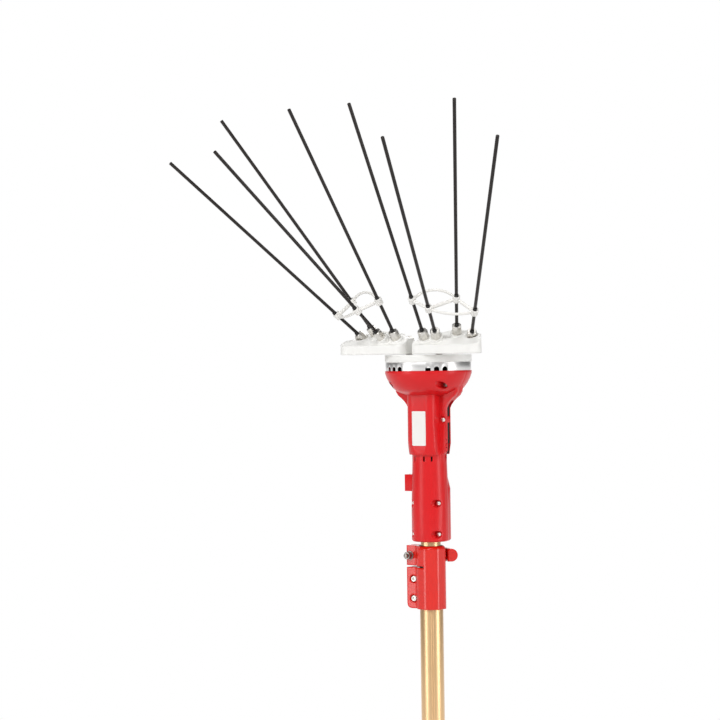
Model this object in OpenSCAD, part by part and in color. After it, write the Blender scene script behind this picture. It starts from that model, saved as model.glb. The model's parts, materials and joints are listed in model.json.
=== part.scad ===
// Electric olive harvester: telescopic pole, motor head and two swinging hands of carbon rods.
// +Z runs up the pole, -Y is the front that the rods lean to, and the origin is the pole's lower end.

/* [Pole] */
// Outside diameter of the lower tube
outer_d = 35; // [33:0.5:40]
// Wall of the lower tube
outer_wall = 2; // [1.5:0.1:2]
// Length of the lower tube
outer_len = 620; // [560:10:900]
// Outside diameter of the sliding tube
inner_d = 30; // [26:0.5:30]
// Wall of the sliding tube
inner_wall = 1.8; // [1.5:0.1:2.5]
// Length of the sliding tube
inner_len = 540; // [460:10:560]
// Width of the guide grooves along both tubes
groove_w = 3; // [2:0.5:5]
// Depth of the guide grooves
groove_depth = 1; // [0.4:0.1:1]

/* [Handle] */
// Length of the foam grip
grip_len = 150; // [110:5:200]
// Thickness of the foam grip
grip_thick = 4; // [3:0.5:6]
// Height of the switch box
switch_h = 62; // [50:1:80]
// Width of the switch box
switch_w = 44; // [42:1:52]
// Length of the rocker
rocker_h = 24; // [18:1:30]
// Width of the rocker
rocker_w = 14; // [10:1:18]

/* [Clamp] */
// Wall of the clamp round the lower tube
clamp_wall = 4.5; // [3.5:0.5:6]
// Height of the fixed zone of the clamp
clamp_low_h = 62; // [56:1:80]
// Height of the clamping zone
clamp_top_h = 30; // [26:1:40]
// Height of the slit between the two zones
clamp_slit = 2.5; // [1.5:0.5:4]
// How far the ears stand out from the tube axis
ear_reach = 36; // [34:1:42]
// Thickness of each ear
ear_thick = 10; // [8:0.5:12]
// Gap between the two ears
ear_gap = 3; // [2:0.5:5]
// Height of the cam lever
lever_h = 20; // [18:1:24]
// Thickness of the lever's arm
lever_thick = 6; // [4:0.5:8]

/* [Housing] */
// Gap of bare tube between clamp and housing
neck_gap = 7; // [4:1:20]
// Radius of the lower end of the housing
foot_r = 28; // [26:0.5:32]
// Radius of the waist below the motor
waist_r = 26; // [24:0.5:28]
// Width of the motor barrel
barrel_w = 47; // [46:0.5:52]
// Depth of the motor barrel, front to back
barrel_d = 60; // [56:0.5:64]
// Radius of the motor barrel's upright corners
barrel_corner = 10; // [8:0.5:12]
// Radius of the bowl's rim
rim_r = 65; // [62:0.5:70]
// Height of the pole socket, up to the step under the motor
socket_h = 130; // [120:1:150]
// Height of the motor barrel
barrel_h = 74; // [70:1:90]
// Height of the bowl
bowl_h = 51; // [48:1:58]
// Wall of the two shells
shell_wall = 2.6; // [2:0.2:3]

/* [Head] */
// Radius of the aluminium gear case
case_r = 64; // [61:0.5:64.5]
// Height of the aluminium gear case
case_h = 13; // [12:0.5:18]
// Height of the white base cover
base_h = 11; // [8:0.5:13]
// Distance of each hand's pivot from the centre plane
pivot_x = 26; // [25:0.5:28]
// Distance of each hand's pivot ahead of the pole axis
pivot_front = 12; // [10:0.5:14]

/* [Hands] */
// Distance of the outermost rod from the centre plane
hand_reach = 96; // [90:1:110]
// Distance of the front row of rods ahead of the pole axis
hand_front = 60; // [56:1:66]
// Height of a hand's arm
arm_h = 24; // [20:0.5:26]
// Diameter of the carbon rods
rod_d = 5; // [4:0.5:6]
// Length of a rod above its nut
rod_len = 390; // [300:10:450]
// Width of the clamping nuts across flats
nut_af = 13; // [12:0.5:15]
// Height of the clamping nuts
nut_h = 14; // [12:0.5:16]
// Distance of the spacer from the nuts, along the rods
spacer_up = 61; // [56:1:80]

/* [Drive] */
// Gear module
gear_module = 1; // [1:0.1:1.1]
// Teeth of the pinion
pinion_teeth = 12; // [12:1:14]
// Teeth of the drive gear
gear_teeth = 40; // [38:1:41]
// Throw of the crank
crank_throw = 4.8; // [4:0.1:5]
// Outside radius of the motor can
can_r = 20; // [18:0.5:20.5]

/* [Hidden] */
$fn = 64;

// Colours
red = "#d4242a";
gold = "#d9bd84";
white = "#f3f2ee";
black = "#2b2725";
steel = "#a9a5a0";
alloy = "#c9ccce";

// Clearances and one overrun for all cuts
fit = 0.05;
gap = 0.3;
over = 1;

// Pole levels
outer_r = outer_d / 2;
outer_bore_r = outer_r - outer_wall;
inner_r = inner_d / 2;
inner_bore_r = inner_r - inner_wall;
groove_angles = [-57, 63, 183];
cap_h = 18;
cap_face_h = 4;
gland_r = 7;
gland_bore_r = 3.5;
grip_z = 0;
grip_r = outer_r + grip_thick;
switch_z = grip_z + grip_len + gap;
switch_room = 14;
switch_wall = 4;
switch_front = outer_r + switch_room;
switch_back = outer_r + switch_wall;
switch_corner = 9;
rocker_z = switch_z + switch_h / 2;
rocker_depth = 9;
rocker_crown = 2.5;
rocker_pin_r = 1.5;
rocker_pin_y = -switch_front + rocker_depth / 2;
rocker_gap = 1.6;

// Clamp levels
clamp_z = outer_len - clamp_low_h;
slit_z = outer_len;
clamp_top_z = slit_z + clamp_slit;
clamp_end_z = clamp_top_z + clamp_top_h;
clamp_r = outer_r + clamp_wall;
clamp_sides = 8;
clamp_turn = 10.5;
clamp_corner_r = clamp_r / cos(180 / clamp_sides);
clamp_edge = 6;
ear_face = ear_gap / 2 + ear_thick;
ear_screw_share = 0.69;
ear_screw_x = -ear_reach * ear_screw_share;
ear_screw_z_shares = [0.24, 0.71];
ear_round = 7;
screw_r = 2.5;
screw_head_r = 4.5;
screw_head_h = 3;
screw_sink = 2;
screw_front_sink = 4;
screw_ring = 1.2;
lever_z = clamp_top_z + clamp_top_h / 2;
bolt_r = 3;
bolt_nut_af = 10;
bolt_nut_h = 8;
bolt_washer_r = 6.5;
bolt_end = 4;
bolt_washer_h = 1.5;
eye_r = 5.5;
eye_h = 8;
pin_r = 2.5;
cam_r = 8;
cam_x = -ear_reach + bolt_washer_r - gap;
cam_y = ear_face + gap + cam_r;
lever_gap = 1.2;
lever_in_r = clamp_corner_r + lever_gap;
lever_out_r = lever_in_r + lever_thick;
lever_start = 140;
lever_steps = 4;
lever_end = 33;
lever_tab_share = 0.28;

// Housing levels
body_z = clamp_end_z + neck_gap;
step_z = body_z + socket_h;
neck_z = step_z + barrel_h;
rim_z = neck_z + bowl_h;
foot_edge = 2;
foot_straight_share = 0.42;
waist_share = 0.9;
bulge_shift = 9;
bulge_in = 2;
bulge_r = foot_r - bulge_in;
bulge_top_r = waist_r - bulge_shift;
bulge_low_share = 0.6;
bulge_high_share = 0.9;
dish_shares = [[0.42, 0.27], [0.55, 0.31], [0.65, 0.36], [0.75, 0.42], [0.825, 0.51], [0.9, 0.64],
               [0.965, 0.8], [1, 0.93], [1, 1]];
dish_z = neck_z + bowl_h * dish_shares[0][1];
barrel_half = barrel_w / 2;
barrel_front = barrel_d / 2;
barrel_back_share = 0.8;
barrel_back = barrel_front * barrel_back_share;
tube_top_share = 0.86;
tube_top_z = body_z + socket_h * tube_top_share;
tube_z = tube_top_z - inner_len;
rib_w = 4;
rib_shares = [0.02, 0.3, 0.58, 0.84];
tube_pin_r = 2;
tube_pin_share = 0.68;
tube_pin_z = body_z + socket_h * tube_pin_share;
foot_plug_h = 16;
foot_ring_h = 14;

// Side flanges, screws and lug of the shells
flange_x = 31.5;
flange_in = 16;
flange_front = 8;
flange_back = 10;
flange_low = 6;
taper_r = 30.3;
taper_out = 4.2;
taper_h = 26;
flange_top_share = 1.37;
flange_shares = [[1, 0.93], [1.08, 1], [1.21, 1.07], [1.37, 1.13], [1.56, 1.19], [1.68, 1.27],
                 [1.71, flange_top_share]];
flange_screw_share = 0.7;
flange_screw_z = step_z + barrel_h * flange_screw_share;
flange_screw_x = 28.6;
low_screw_x = 21;
low_screw_shares = [0.085, 0.44];
low_screw_z = [for (s = low_screw_shares) body_z + socket_h * s];
bowl_screw_x = 43;
bowl_screw_share = 0.59;
bowl_screw_z = neck_z + bowl_h * bowl_screw_share;
shell_screw_r = 1.9;
shell_head_r = 3.6;
shell_head_h = 2.4;
shell_sink_r = 5.8;
boss_wall = 2;
low_seat_y = -10;
flange_seat_y = -flange_front + shell_head_h / 2;
bowl_seat_y = -22;
screw_tail_y = 5;
boss_r = shell_sink_r + boss_wall;
lug_reach = 40;
lug_share = 0.57;
lug_z = body_z + socket_h * lug_share;
lug_h = 25;
lug_thick = 7;
label_w = 24;
label_h = 52;
label_share = 0.18;
label_z = step_z + barrel_h * label_share;
label_depth = 0.6;
vent_w = 2.6;
vent_h = 10;
vent_angles = [-116, -78, -52, 52, 78, 116];
side_vent_d = 8;
side_vent_y = 1;
side_vent_w = 8;
side_vent_shares = [[-0.08, 0.64], [0.76, 1.13]];
dot_r = 1.1;
dot_y = -2.6;
dot_shares = [0.06, 0.14, 0.22, 0.3];

// Drive levels
can_share = 0.12;
can_z = step_z + barrel_h * can_share;
mount_share = 0.42;
mount_z = neck_z + bowl_h * mount_share;
can_h = mount_z - can_z;
can_wall = 2;
cap_disc_h = 6;
magnet_thick = 5;
magnet_span = 130;
armature_gap = 0.7;
armature_r = can_r - can_wall - fit - magnet_thick - armature_gap;
armature_h = 40;
shaft_r = 3;
bearing_r = 8;
bearing_h = 5;
mount_h = 6;
mount_r = 33;
mount_ear_r = 13;
gear_h = 8;
gear_lift = 5;
gear_z = mount_z + mount_h + gear_lift;
gear_backlash = 0.12;
tooth_shares = [[-0.27, -1.15], [-0.12, 0.9], [0.12, 0.9], [0.27, -1.15]];
gear_distance = gear_module * (pinion_teeth + gear_teeth) / 2 + gear_backlash;
pinion_over = 1;
pinion_h = gear_h + 2 * pinion_over;
pinion_z = gear_z - pinion_over;
case_z = rim_z;
case_wall = 5;
case_floor = 4;
case_lip = 3;
crank_r = 5;
crank_disc_r = 9;
crank_disc_h = 1.5;
roller_r = 5;
roller_pin_r = 2.5;
yoke_h = 2.5;
yoke_gap = 0.4;
yoke_z = case_z + case_floor + crank_disc_h + 2 * yoke_gap;
cover_z = case_z + case_h;
roller_h = 2 * yoke_h + yoke_gap;
slot_wall = 4;
slot_r = roller_r + 2 * crank_throw + 2 * gap;
yoke_hub_r = 9;
swing_r = 5;
bush_wall = 2;
hand_gap = 1;
hand_z = cover_z + base_h + hand_gap;

// Vent slots of the gear case, as groups round the front and the back
case_vent_w = 8;
case_vent_h = 6.5;
case_vent_d = 14;
case_vent_pitch = 11.5;
case_vent_groups = [-48, -112, 132, 68];

// Hands and rods, from the inner rod to the outer one
rod_r = rod_d / 2;
rod_x_shares = [0.26, 0.51, 0.76, 1];
rod_y_shares = [0.91, 1, 0.65, 0.595];
rod_lean_shares = [[0.08, -0.73], [0.35, -1.09], [0.4, -0.68], [0.69, -0.91]];
rod_drop = 8.5;
rod_drop_shares = [0.8, 0.74, 0, 1];
spacer_shares = [1, 0.885, 0.9, 0.8];
rods = [0, 1, 2, 3];
nut_rise = 36;
nut_z = hand_z + nut_rise;
hub_r = 13;
hub_h = 20;
hub_nut_af = 15;
hub_nut_h = 5;
hub_washer_r = 8.5;
hub_washer_h = 1.5;
boss_big_r = 10;
web_step = 2;
web_side_share = 0.95;
seat_gap = 1;
seat_r = nut_af / (2 * cos(30)) + seat_gap;
bar_end_r = 12;
bar_front = 52.6;
slope_low = 13;
slope_turn = 24;
hill_h = 11;
hill_half = 52;
hill_r = (hill_half * hill_half + hill_h * hill_h) / (2 * hill_h);
hill_share = 0.69;
hill_x = hand_reach * hill_share;
hand_gap_x = 6;
tip_over = 24;
rear_shift = 7;
boss_len = 22;
boss_top = nut_h / 2;
rod_tail = 24;
ferrule_h = 4;
ferrule_r = 4.2;
sleeve_r = 5.5;
sleeve_h = 10;
stop_h = 4;
stop_r = 4.4;
bar_r = 2.2;
arc_r = 1.6;
arc_rise = 14;

// Shared shapes

// Regular hexagon prism of a given width across flats
module hex(af, h) {
    cylinder(r = af / (2 * cos(30)), h = h, $fn = 6);
}

// Flat bar with round ends between two points of a plan
module bar_plan(p, q, r, side = 1) {
    d = q - p;
    translate(p) circle(r);
    translate(q) circle(r);
    translate(p) rotate(atan2(d.y, d.x)) translate([0, -r * side]) square([norm(d), 2 * r * side]);
}

// Rounded rectangle about the axis, with its front and back distances
module rounded_plan(half_w, front, back, corner) {
    x = half_w - corner;
    low = -front + corner;
    high = back - corner;
    bar_plan([-x, low], [x, low], corner);
    bar_plan([-x, high], [x, high], corner);
    bar_plan([-x, low], [-x, high], corner);
    bar_plan([x, low], [x, high], corner);
    translate([-x, low]) square([2 * x, high - low]);
}

// Round bar between two points in space
module bar(p, q, r) {
    d = q - p;
    translate(p) rotate([0, acos(d.z / norm(d)), atan2(d.y, d.x)]) cylinder(r = r, h = norm(d), $fn = 24);
}

// Cylinder along Y from its front face back
module along_y(x, y, z, r, len) {
    translate([x, y, z]) rotate([-90, 0, 0]) cylinder(r = r, h = len, $fn = 32);
}

// Solid between two radii
module ring(r_out, r_in, h) {
    difference() {
        cylinder(r = r_out, h = h);
        translate([0, 0, -over]) cylinder(r = r_in, h = h + 2 * over);
    }
}

// Right and left copies
module both_sides() {
    children();
    mirror([1, 0, 0]) children();
}

// Tube with three shallow guide grooves along its outside
module grooved_tube(r, bore_r, len) {
    difference() {
        cylinder(r = r, h = len);
        translate([0, 0, -over]) cylinder(r = bore_r, h = len + 2 * over);
        for (a = groove_angles)
            rotate(a) translate([r - groove_depth, -groove_w / 2, -over])
                cube([groove_depth + over, groove_w, len + 2 * over]);
    }
}

// Pole

module outer_tube() {
    color(gold) translate([0, 0, cap_face_h]) grooved_tube(outer_r, outer_bore_r, outer_len - cap_face_h);
}

module grip_sleeve() {
    color(black) translate([0, 0, grip_z]) ring(grip_r, outer_r + fit, grip_len);
}

module end_cap() {
    color(black) difference() {
        union() {
            cylinder(r = outer_r, h = cap_face_h);
            cylinder(r = outer_bore_r - fit, h = cap_h);
        }
        translate([0, 0, -over]) cylinder(r = gland_r + fit, h = cap_h + 2 * over);
    }
}

module cable_gland() {
    color(steel) ring(gland_r, gland_bore_r, cap_h);
}

module switch_box() {
    pocket_w = rocker_w + 2 * rocker_gap;
    pocket_h = rocker_h + 2 * rocker_gap;
    pocket_d = rocker_depth + rocker_gap;
    color(red) difference() {
        translate([0, 0, switch_z]) linear_extrude(switch_h)
            rounded_plan(switch_w / 2, switch_front, switch_back, switch_corner);
        translate([0, 0, switch_z - over]) cylinder(r = outer_r + fit, h = switch_h + 2 * over);
        translate([-pocket_w / 2, -switch_front - over, rocker_z - pocket_h / 2])
            cube([pocket_w, pocket_d + over, pocket_h]);
        translate([-switch_w / 2 + switch_wall, rocker_pin_y, rocker_z]) rotate([0, 90, 0])
            cylinder(r = rocker_pin_r + fit, h = switch_w - 2 * switch_wall, $fn = 32);
    }
}

module switch_rocker() {
    color(black) difference() {
        translate([-rocker_w / 2, rocker_pin_y, rocker_z]) rotate([0, 90, 0]) intersection() {
            translate([-rocker_h / 2, -rocker_depth / 2 - rocker_crown, 0])
                cube([rocker_h, rocker_depth + rocker_crown, rocker_w]);
            cylinder(r = rocker_h / 2, h = rocker_w);
        }
        translate([-rocker_w / 2 - over, rocker_pin_y, rocker_z]) rotate([0, 90, 0])
            cylinder(r = rocker_pin_r + fit, h = rocker_w + 2 * over, $fn = 32);
    }
}

module switch_pin() {
    color(steel) translate([-switch_w / 2 + switch_wall, rocker_pin_y, rocker_z]) rotate([0, 90, 0])
        cylinder(r = rocker_pin_r, h = switch_w - 2 * switch_wall, $fn = 32);
}

// Clamp

module clamp_plan() {
    rotate(clamp_turn) circle(clamp_corner_r, $fn = clamp_sides);
    translate([-ear_reach, -ear_face]) square([ear_reach, 2 * ear_face]);
}

function ear_screw_z(i) = clamp_z + clamp_low_h * ear_screw_z_shares[i];

module clamp_body() {
    slot_x = -ear_reach - over;
    color(red) difference() {
        translate([0, 0, clamp_z]) linear_extrude(clamp_end_z - clamp_z) clamp_plan();
        translate([0, 0, clamp_z - over]) cylinder(r = outer_r + fit, h = clamp_end_z - clamp_z + 2 * over);
        // Split between the ears, and the cross slit that frees the clamping zone
        translate([slot_x, -ear_gap / 2, clamp_z - over])
            cube([-slot_x, ear_gap, clamp_end_z - clamp_z + 2 * over]);
        translate([slot_x, -clamp_corner_r - over, slit_z])
            cube([-slot_x, 2 * (clamp_corner_r + over), clamp_slit]);
        // Sloped upper edge of the clamping zone
        intersection() {
            rotate_extrude() polygon([[clamp_r - clamp_edge / 2, clamp_end_z], [clamp_corner_r + over, clamp_end_z - clamp_edge],
                [clamp_corner_r + over, clamp_end_z + over], [clamp_r - clamp_edge / 2, clamp_end_z + over]]);
            translate([-outer_r / 2, -2 * clamp_r, slit_z]) cube([4 * clamp_r, 4 * clamp_r, 2 * clamp_top_h]);
        }
        // Rounded lower corner of the ears
        difference() {
            translate([slot_x, -ear_face - over, clamp_z - over])
                cube([ear_round + over, 2 * (ear_face + over), ear_round + over]);
            along_y(-ear_reach + ear_round, -ear_face - 2 * over, clamp_z + ear_round, ear_round,
                    2 * (ear_face + 2 * over));
        }
        for (i = [0, 1]) {
            along_y(ear_screw_x, -ear_face - over, ear_screw_z(i), screw_r + fit, 2 * (ear_face + over));
            along_y(ear_screw_x, -ear_face - over, ear_screw_z(i), screw_head_r + screw_ring, screw_front_sink + over);
            translate([ear_screw_x, ear_face - screw_sink, ear_screw_z(i)]) rotate([-90, 0, 0])
                hex(2 * screw_head_r + 2 * gap, screw_sink + over);
        }
        along_y(cam_x, -ear_face - over, lever_z, bolt_r + fit, 2 * (ear_face + over));
    }
}

module clamp_liner() {
    color(black) difference() {
        translate([0, 0, slit_z + gap]) cylinder(r = outer_r, h = clamp_end_z - slit_z - gap);
        translate([0, 0, slit_z - over]) cylinder(r = inner_r + fit, h = clamp_end_z - slit_z + 2 * over);
        translate([-outer_r - over, -ear_gap / 2, slit_z - over])
            cube([outer_r + over, ear_gap, clamp_end_z - slit_z + 2 * over]);
    }
}

module clamp_screws() {
    color(steel) for (i = [0, 1]) {
        along_y(ear_screw_x, -ear_face + screw_front_sink - screw_head_h, ear_screw_z(i), screw_head_r, screw_head_h);
        along_y(ear_screw_x, -ear_face + screw_front_sink, ear_screw_z(i), screw_r,
                2 * ear_face - screw_front_sink + screw_sink);
    }
}

module clamp_nuts() {
    color(steel) for (i = [0, 1])
        translate([ear_screw_x, ear_face - screw_sink, ear_screw_z(i)]) rotate([-90, 0, 0]) difference() {
            hex(2 * screw_head_r, screw_sink + screw_head_h);
            translate([0, 0, -over]) cylinder(r = screw_r + fit, h = screw_sink + screw_head_h + 2 * over);
        }
}

module lever_bolt() {
    front = -ear_face - bolt_washer_h - bolt_nut_h - bolt_end;
    color(steel) difference() {
        union() {
            along_y(cam_x, front, lever_z, bolt_r, cam_y - front);
            translate([cam_x, cam_y, lever_z - eye_h / 2]) cylinder(r = eye_r, h = eye_h);
        }
        translate([cam_x, cam_y, lever_z - eye_h]) cylinder(r = pin_r + fit, h = 2 * eye_h);
    }
}

module lever_nut() {
    y = -ear_face - bolt_washer_h;
    color(steel) difference() {
        union() {
            along_y(cam_x, y, lever_z, bolt_washer_r, bolt_washer_h);
            translate([cam_x, y - bolt_nut_h, lever_z]) rotate([-90, 0, 0]) hex(bolt_nut_af, bolt_nut_h);
        }
        along_y(cam_x, y - bolt_nut_h - over, lever_z, bolt_r + fit, bolt_nut_h + bolt_washer_h + 2 * over);
    }
}

module lever_pin() {
    color(steel) translate([cam_x, cam_y, lever_z - lever_h / 2]) cylinder(r = pin_r, h = lever_h);
}

module lever_plan() {
    tip_r = (lever_in_r + lever_out_r) / 2;
    intersection() {
        difference() {
            circle(lever_out_r);
            circle(lever_in_r);
        }
        polygon([[0, 0], for (t = [0:lever_steps]) let (a = lever_end + (lever_start - lever_end) * t / lever_steps)
            2 * lever_out_r * [cos(a), sin(a)]]);
    }
    bar_plan([cam_x, cam_y], tip_r * [cos(lever_start), sin(lever_start)], lever_thick / 2, web_side_share);
    translate([cam_x, cam_y]) circle(cam_r);
}

module cam_lever() {
    fork_h = eye_h + 2 * gap;
    color(red) difference() {
        union() {
            translate([0, 0, lever_z - lever_h / 2]) linear_extrude(lever_h) lever_plan();
            // Round thumb tab
            difference() {
                rotate(lever_end) translate([lever_in_r + lever_h * lever_tab_share, lever_thick / 2, lever_z])
                    rotate([90, 0, 0]) cylinder(r = lever_h / 2 - gap, h = lever_thick);
                translate([0, 0, lever_z - lever_h]) cylinder(r = lever_in_r + lever_gap, h = 2 * lever_h);
            }
        }
        translate([cam_x, cam_y, lever_z - lever_h]) cylinder(r = pin_r + fit, h = 2 * lever_h);
        translate([cam_x, cam_y, lever_z - fork_h / 2]) cylinder(r = cam_r + gap, h = fork_h);
    }
}

// Sliding tube

module inner_tube() {
    color(gold) translate([0, 0, tube_z]) difference() {
        grooved_tube(inner_r, inner_bore_r, inner_len);
        along_y(0, -inner_d, tube_pin_z - tube_z, tube_pin_r + fit, 2 * inner_d);
    }
}

module tube_foot() {
    color(black) translate([0, 0, tube_z]) difference() {
        union() {
            translate([0, 0, -foot_ring_h]) cylinder(r = outer_bore_r - fit, h = foot_ring_h);
            cylinder(r = inner_bore_r - fit, h = foot_plug_h);
        }
        translate([0, 0, -foot_ring_h - over])
            cylinder(r = inner_bore_r - outer_wall, h = foot_ring_h + foot_plug_h + 2 * over);
    }
}

module tube_pin() {
    color(steel) along_y(0, -waist_r + shell_wall + gap, tube_pin_z, tube_pin_r,
                         2 * (waist_r - shell_wall - gap));
}

// Housing

// Pole socket, turned, drawn in by an inset
module socket_form(inset) {
    rotate_extrude($fn = 96) polygon([
        [0, body_z], [foot_r - foot_edge - inset, body_z], [foot_r - inset, body_z + foot_edge],
        [foot_r - inset, body_z + socket_h * foot_straight_share],
        [waist_r - inset, body_z + socket_h * waist_share], [waist_r - inset, step_z + shell_wall],
        [0, step_z + shell_wall]]);
}

// Swelling at the back of the pole socket
module bulge_form(inset) {
    translate([0, bulge_shift, 0]) rotate_extrude($fn = 96) polygon([
        [0, body_z + inset], [bulge_r - foot_edge - inset, body_z + inset],
        [bulge_r - inset, body_z + foot_edge + inset],
        [bulge_r - inset, body_z + socket_h * bulge_low_share],
        [bulge_top_r - inset, body_z + socket_h * bulge_high_share], [0, body_z + socket_h * bulge_high_share]]);
}

// Motor barrel
module barrel_form(inset, low, high) {
    translate([0, 0, low]) linear_extrude(high - low)
        rounded_plan(barrel_half - inset, barrel_front - inset, barrel_back - inset, barrel_corner - inset);
}

// Dish that carries the gear case
module dish_form(inset, high) {
    rotate_extrude($fn = 96) polygon(concat([[0, dish_z + inset / 2]],
        [for (s = dish_shares) [rim_r * s[0] - inset, neck_z + bowl_h * s[1] + inset * (1 - s[0])]],
        [[rim_r - inset, high], [0, high]]));
}

module body_form() {
    socket_form(0);
    bulge_form(0);
    barrel_form(0, step_z, dish_z + shell_wall);
    dish_form(0, rim_z);
}

module body_hollow() {
    difference() {
        union() {
            socket_form(shell_wall);
            bulge_form(shell_wall);
        }
        for (s = rib_shares)
            translate([0, 0, body_z + (tube_top_z - body_z) * s]) cylinder(r = 2 * foot_r, h = rib_w);
        translate([0, 0, step_z]) cylinder(r = 2 * foot_r, h = 2 * shell_wall);
    }
    barrel_form(shell_wall, step_z + taper_h, rim_z - bowl_h / 2);
    dish_form(shell_wall, rim_z + over);
}

// Screw places: x, seat y and z
screw_places = concat(
    [for (z = low_screw_z) [low_screw_x, low_seat_y, z]],
    [[flange_screw_x, flange_seat_y, flange_screw_z], [bowl_screw_x, bowl_seat_y, bowl_screw_z]]);

// Side flange with the gusset under the dish, drawn as the right one
module side_flange() {
    translate([0, flange_back, 0]) rotate([90, 0, 0]) linear_extrude(flange_front + flange_back) polygon(concat(
        [[flange_in, step_z], [flange_x - flange_low / 2, step_z], [flange_x, step_z + flange_low]],
        [for (s = flange_shares) [flange_x * s[0], step_z + barrel_h * s[1]]],
        [[flange_in, step_z + barrel_h * flange_top_share]]));
}

module lug() {
    translate([-lug_reach, -lug_thick, lug_z]) cube([lug_reach - waist_r + shell_wall, 2 * lug_thick, lug_h]);
}

module shell_pair() {
    difference() {
        union() {
            difference() {
                union() {
                    body_form();
                    both_sides() side_flange();
                    lug();
                }
                body_hollow();
            }
            // Screw bosses inside the shells
            intersection() {
                union() {
                    body_form();
                    both_sides() side_flange();
                }
                both_sides() for (s = screw_places)
                    along_y(s.x, -rim_r, s.z, boss_r, 2 * rim_r);
            }
        }
        // Room for the pole, the motor and its plate
        translate([0, 0, body_z - over]) cylinder(r = inner_r + fit, h = tube_top_z - body_z + fit + over);
        translate([0, 0, tube_top_z]) cylinder(r = inner_bore_r, h = can_z - tube_top_z);
        translate([0, 0, can_z - gap]) cylinder(r = can_r + fit, h = mount_z - can_z + gap);
        along_y(0, -waist_r + shell_wall, tube_pin_z, tube_pin_r + fit, 2 * (waist_r - shell_wall));
        translate([0, 0, mount_z]) mount_room();
        // Taper of the barrel and its flanges towards the step
        rotate_extrude($fn = 96) polygon([[taper_r, step_z - over], [taper_r + taper_out, step_z + taper_h],
            [rim_r, step_z + taper_h], [rim_r, step_z - over]]);
        // Screw holes with open seats
        both_sides() for (s = screw_places) {
            along_y(s.x, s.y - over, s.z, shell_screw_r + fit, -s.y + screw_tail_y + over);
            along_y(s.x, -rim_r, s.z, shell_sink_r, rim_r + s.y);
        }
        // Vents round the step, and the openings along the seam behind the flange
        for (a = vent_angles)
            rotate(a) translate([waist_r - shell_wall - over, -vent_w / 2, step_z - vent_h])
                cube([2 * shell_wall + 2 * over, vent_w, vent_h - shell_wall]);
        both_sides() for (s = side_vent_shares)
            translate([flange_x - side_vent_d, side_vent_y, step_z + barrel_h * s[0]])
                cube([2 * side_vent_d, side_vent_w, barrel_h * (s[1] - s[0])]);
        both_sides() for (s = dot_shares)
            translate([flange_x - side_vent_d, dot_y, step_z + barrel_h * s]) rotate([0, 90, 0])
                cylinder(r = dot_r, h = 2 * side_vent_d, $fn = 24);
    }
}

module mount_plan(extra) {
    circle(mount_r + extra);
    bar_plan([0, 0], [0, gear_distance], mount_ear_r + extra);
}

module mount_room() {
    linear_extrude(rim_z - mount_z + over) mount_plan(gap);
}

module half_space(side) {
    s = 2 * rim_r;
    translate([-s, side > 0 ? 0 : -s, body_z - over]) cube([2 * s, s, rim_z - body_z + 2 * over]);
}

module front_shell() {
    color(red) difference() {
        intersection() {
            shell_pair();
            half_space(-1);
        }
        translate([-label_w / 2, -barrel_front - over, label_z]) cube([label_w, over + label_depth, label_h]);
    }
}

module rear_shell() {
    color(red) intersection() {
        shell_pair();
        half_space(1);
    }
}

module shell_screws() {
    color(steel) both_sides() for (s = screw_places) {
        along_y(s.x, s.y - shell_head_h, s.z, shell_head_r, shell_head_h);
        along_y(s.x, s.y, s.z, shell_screw_r, -s.y + screw_tail_y - gap);
    }
}

// Motor

module motor_can() {
    color(steel) translate([0, 0, can_z]) difference() {
        ring(can_r, can_r - can_wall, can_h);
        translate([0, 0, -over]) cylinder(r = can_r - can_wall, h = cap_disc_h + over);
    }
}

module motor_magnets() {
    r = can_r - can_wall - fit;
    color(black) translate([0, 0, can_z + (can_h - armature_h) / 2]) for (a = [0, 180])
        rotate(a - magnet_span / 2) rotate_extrude(angle = magnet_span)
            translate([r - magnet_thick, 0]) square([magnet_thick, armature_h]);
}

module motor_cap() {
    color(black) translate([0, 0, can_z]) difference() {
        cylinder(r = can_r - can_wall - fit, h = cap_disc_h);
        translate([0, 0, -over]) cylinder(r = bearing_r + fit, h = cap_disc_h + 2 * over);
    }
}

module motor_mount() {
    color(alloy) translate([0, 0, mount_z]) difference() {
        linear_extrude(mount_h) mount_plan(0);
        translate([0, 0, -over]) cylinder(r = bearing_r + fit, h = mount_h + 2 * over);
        translate([0, gear_distance, -over]) cylinder(r = bearing_r + fit, h = mount_h + 2 * over);
    }
}

module motor_bearings() {
    color(steel) for (z = [can_z + (cap_disc_h - bearing_h) / 2, mount_z + (mount_h - bearing_h) / 2])
        translate([0, 0, z]) ring(bearing_r, shaft_r + fit, bearing_h);
}

module armature() {
    color(steel) union() {
        translate([0, 0, can_z]) cylinder(r = shaft_r, h = pinion_z + pinion_h - can_z);
        translate([0, 0, can_z + (can_h - armature_h) / 2]) cylinder(r = armature_r, h = armature_h);
    }
}

// Spur gear outline with straight-flanked teeth
function gear_points(teeth) = let (r = gear_module * teeth / 2, p = 360 / teeth) [
    for (i = [0:teeth - 1], k = tooth_shares)
        (r + gear_module * k[1]) * [cos(p * (i + k[0])), sin(p * (i + k[0]))]];

module pinion() {
    color(steel) translate([0, 0, pinion_z]) difference() {
        rotate(90) linear_extrude(pinion_h) polygon(gear_points(pinion_teeth));
        translate([0, 0, -over]) cylinder(r = shaft_r + fit, h = pinion_h + 2 * over);
    }
}

module drive_gear() {
    color(steel) translate([0, gear_distance, gear_z]) difference() {
        rotate(-90 + 180 / gear_teeth) linear_extrude(gear_h) polygon(gear_points(gear_teeth));
        translate([0, 0, -over]) cylinder(r = crank_r + fit, h = gear_h + 2 * over);
    }
}

// Crank

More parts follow.
